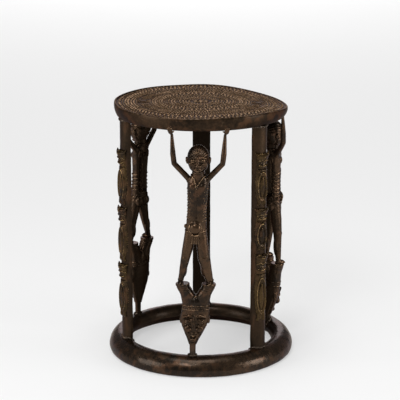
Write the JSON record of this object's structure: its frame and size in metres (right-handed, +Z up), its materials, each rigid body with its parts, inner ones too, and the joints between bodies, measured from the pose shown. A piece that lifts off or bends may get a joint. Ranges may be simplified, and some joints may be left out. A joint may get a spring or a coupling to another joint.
{
  "type": "bronze stool",
  "caption": "Cast bronze stool: round ornamented seat on a base ring, carried by half-round posts with relief figures and by standing figures on forked heads.",
  "frame": {"origin": "centre of the base ring on the floor", "axes": "+Z up along the stool's axis; -Y is the front, where the front figure faces"},
  "size_m": [0.3332, 0.3332, 0.457],
  "materials": {
    "frame_bronze": "dark brown patina, satin",
    "seat_bronze": "worn brown patina",
    "figure_bronze": "dark brown patina with worn high spots",
    "relief_bronze": "worn golden brown patina",
    "brazed_bronze": "brazed, rough"
  },
  "bodies": {
    "root": {"base_ring": "frame_bronze", "figure_front": "figure_bronze", "figure_rear_left": "figure_bronze", "figure_rear_right": "figure_bronze", "foot_collar_front_left": "brazed_bronze", "foot_collar_front_right": "brazed_bronze", "foot_collar_rear": "brazed_bronze", "forked_head_front": "figure_bronze", "forked_head_rear_left": "figure_bronze", "forked_head_rear_right": "figure_bronze", "head_collar_front_left": "brazed_bronze", "head_collar_front_right": "brazed_bronze", "head_collar_rear": "brazed_bronze", "post_front_left": "frame_bronze", "post_front_right": "frame_bronze", "post_rear": "frame_bronze", "relief_front_left_lower": "relief_bronze", "relief_front_left_middle": "relief_bronze", "relief_front_left_upper": "relief_bronze", "relief_front_right_lower": "relief_bronze", "relief_front_right_middle": "relief_bronze", "relief_front_right_upper": "relief_bronze", "relief_rear_lower": "relief_bronze", "relief_rear_middle": "relief_bronze", "relief_rear_upper": "relief_bronze", "seat": "seat_bronze", "stem_front": "brazed_bronze", "stem_rear_left": "brazed_bronze", "stem_rear_right": "brazed_bronze"}
  },
  "joints": []
}
